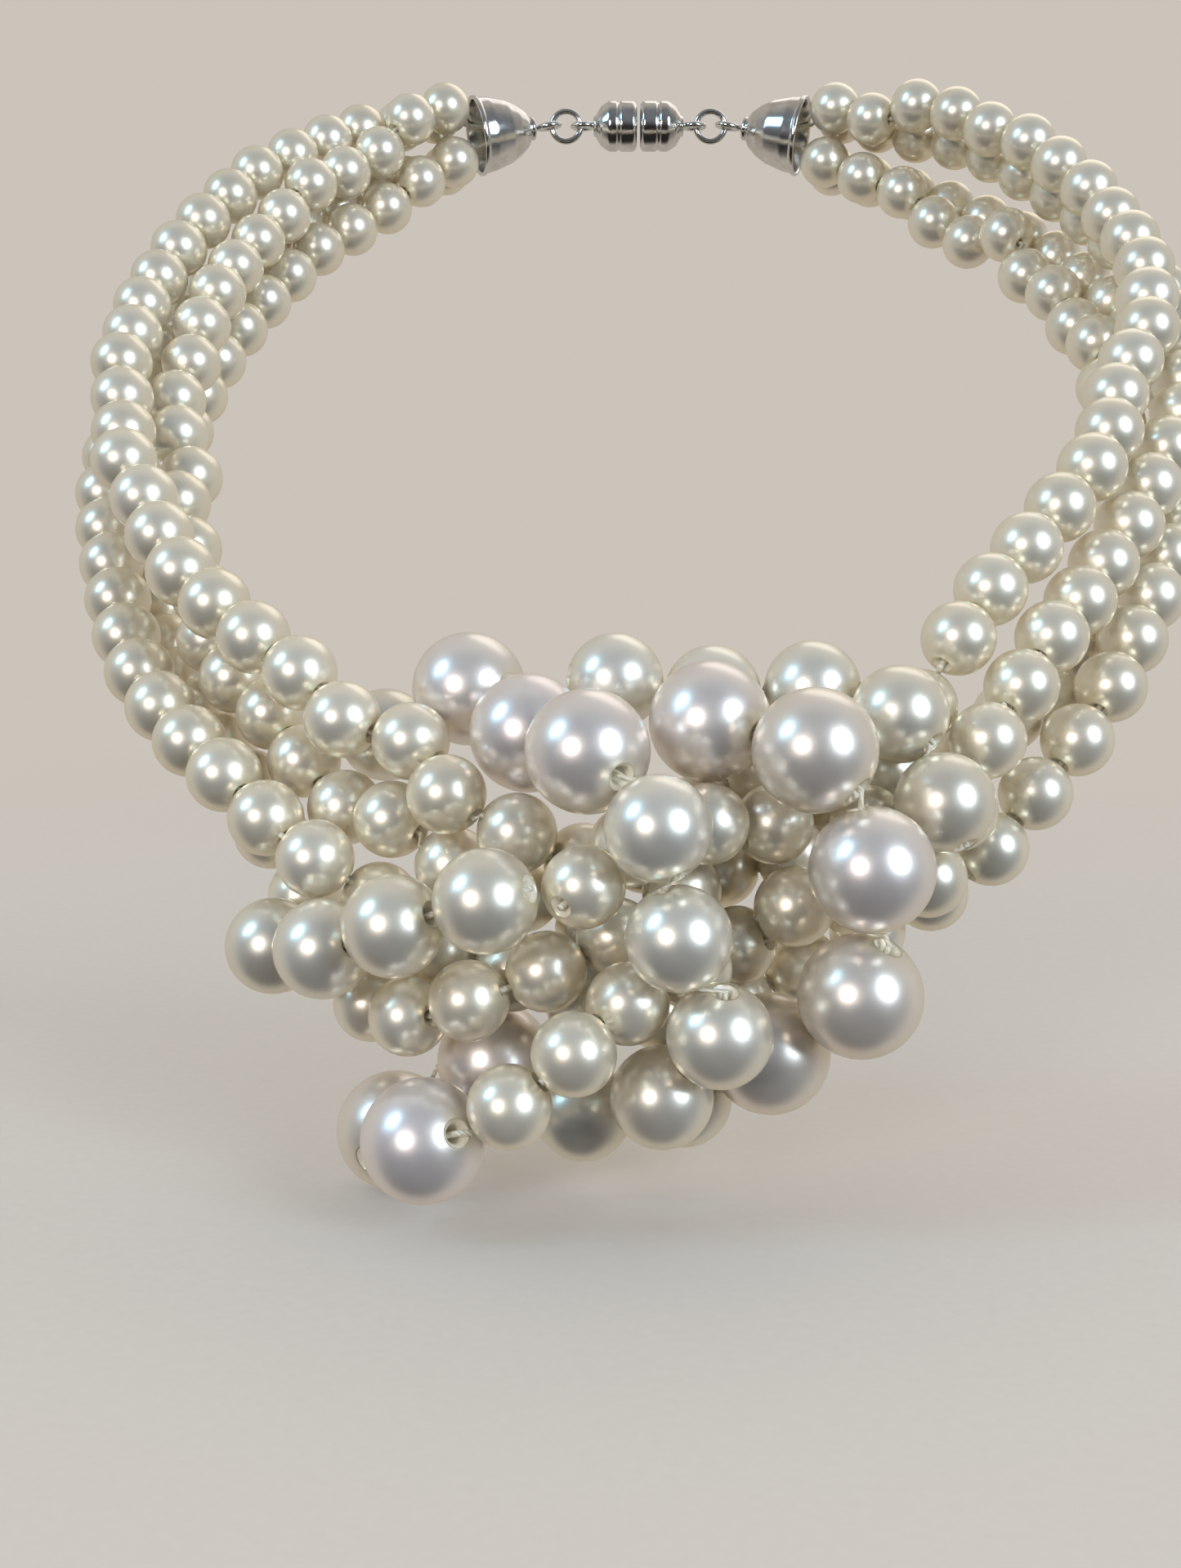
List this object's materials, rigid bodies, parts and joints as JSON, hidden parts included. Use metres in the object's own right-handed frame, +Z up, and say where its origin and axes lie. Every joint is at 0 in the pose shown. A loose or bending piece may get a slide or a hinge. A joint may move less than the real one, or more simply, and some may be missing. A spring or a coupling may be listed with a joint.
{
  "type": "pearl necklace",
  "caption": "Worn multi-strand necklace of simulated pearls with a knotted front cluster of mixed pearl sizes, gathered into end cones and a magnetic barrel clasp.",
  "frame": {"origin": "on the axis of the neck that wears it, level with the strands at the sides of the neck", "axes": "-Y is the front, where the knot lies; +Y is the nape; +X is the right side seen from the front; +Z is up along the neck"},
  "size_m": [0.1483, 0.1629, 0.1351],
  "materials": {
    "pearl_small": "pearl lacquer, cream, glossy",
    "pearl_medium": "pearl lacquer, ivory, glossy",
    "pearl_large": "pearl lacquer, faintly pink, glossy",
    "thread": "twisted nylon bead cord, cream",
    "clasp_metal": "polished rhodium plate",
    "magnet": "nickel plated"
  },
  "bodies": {
    "knot": {"strand_1_knot": "pearl_small", "strand_2_knot": "pearl_small", "strand_3_knot": "pearl_small", "strand_4_knot": "pearl_small", "tie_upper": "pearl_small", "tie_lower": "pearl_small", "garland_pearl_1": "pearl_medium", "garland_pearl_2": "pearl_large", "garland_pearl_3": "pearl_large", "garland_pearl_4": "pearl_large", "garland_pearl_5": "pearl_medium", "garland_pearl_6": "pearl_medium", "garland_pearl_7": "pearl_medium", "garland_pearl_8": "pearl_medium", "garland_thread": "thread", "rim_pearl_1": "pearl_large", "rim_pearl_2": "pearl_large", "rim_pearl_3": "pearl_large", "rim_pearl_4": "pearl_large", "rim_pearl_5": "pearl_large", "rim_pearl_6": "pearl_medium", "rim_pearl_7": "pearl_medium", "rim_pearl_8": "pearl_large", "rim_pearl_9": "pearl_large", "rim_pearl_10": "pearl_large", "rim_thread": "thread", "collar_pearl_1": "pearl_medium", "collar_pearl_2": "pearl_medium", "collar_pearl_3": "pearl_medium", "collar_pearl_4": "pearl_medium", "collar_pearl_5": "pearl_medium", "collar_thread": "thread", "swag_pearl_1": "pearl_medium", "swag_pearl_2": "pearl_medium", "swag_pearl_3": "pearl_medium", "swag_pearl_4": "pearl_medium", "swag_thread": "thread"},
    "left_side": {"end_cone_left": "clasp_metal", "eye_pin_left": "clasp_metal", "crimp_left": "clasp_metal", "strand_1_left": "pearl_small", "strand_2_left": "pearl_small", "strand_3_left": "pearl_small", "strand_4_left": "pearl_small"},
    "right_side": {"end_cone_right": "clasp_metal", "eye_pin_right": "clasp_metal", "crimp_right": "clasp_metal", "strand_1_right": "pearl_small", "strand_2_right": "pearl_small", "strand_3_right": "pearl_small", "strand_4_right": "pearl_small"},
    "left_clasp": {"clasp_half_left": "clasp_metal", "magnet_left": "magnet", "jump_ring_left": "clasp_metal"},
    "right_clasp": {"clasp_half_right": "clasp_metal", "magnet_right": "magnet", "jump_ring_right": "clasp_metal"}
  },
  "joints": [
    {"name": "left_side_open", "type": "hinge", "parent": "knot", "child": "left_side", "pos_m": [-0.045, -0.075, 0], "axis": [0, 0, 1], "range_deg": [0, 28]},
    {"name": "right_side_open", "type": "hinge", "parent": "knot", "child": "right_side", "pos_m": [0.042, -0.074, 0], "axis": [0, 0, -1], "range_deg": [0, 28]},
    {"name": "left_clasp_swing", "type": "hinge", "parent": "left_side", "child": "left_clasp", "pos_m": [-0.01445, 0.064, 0.043], "axis": [0, 0, -1], "range_deg": [0, 28]},
    {"name": "right_clasp_swing", "type": "hinge", "parent": "right_side", "child": "right_clasp", "pos_m": [0.01445, 0.064, 0.043], "axis": [0, 0, 1], "range_deg": [0, 28]}
  ],
  "couplings": [
    {"joint": "left_clasp_swing", "follows": "left_side_open", "ratio": 1},
    {"joint": "right_clasp_swing", "follows": "right_side_open", "ratio": 1}
  ]
}
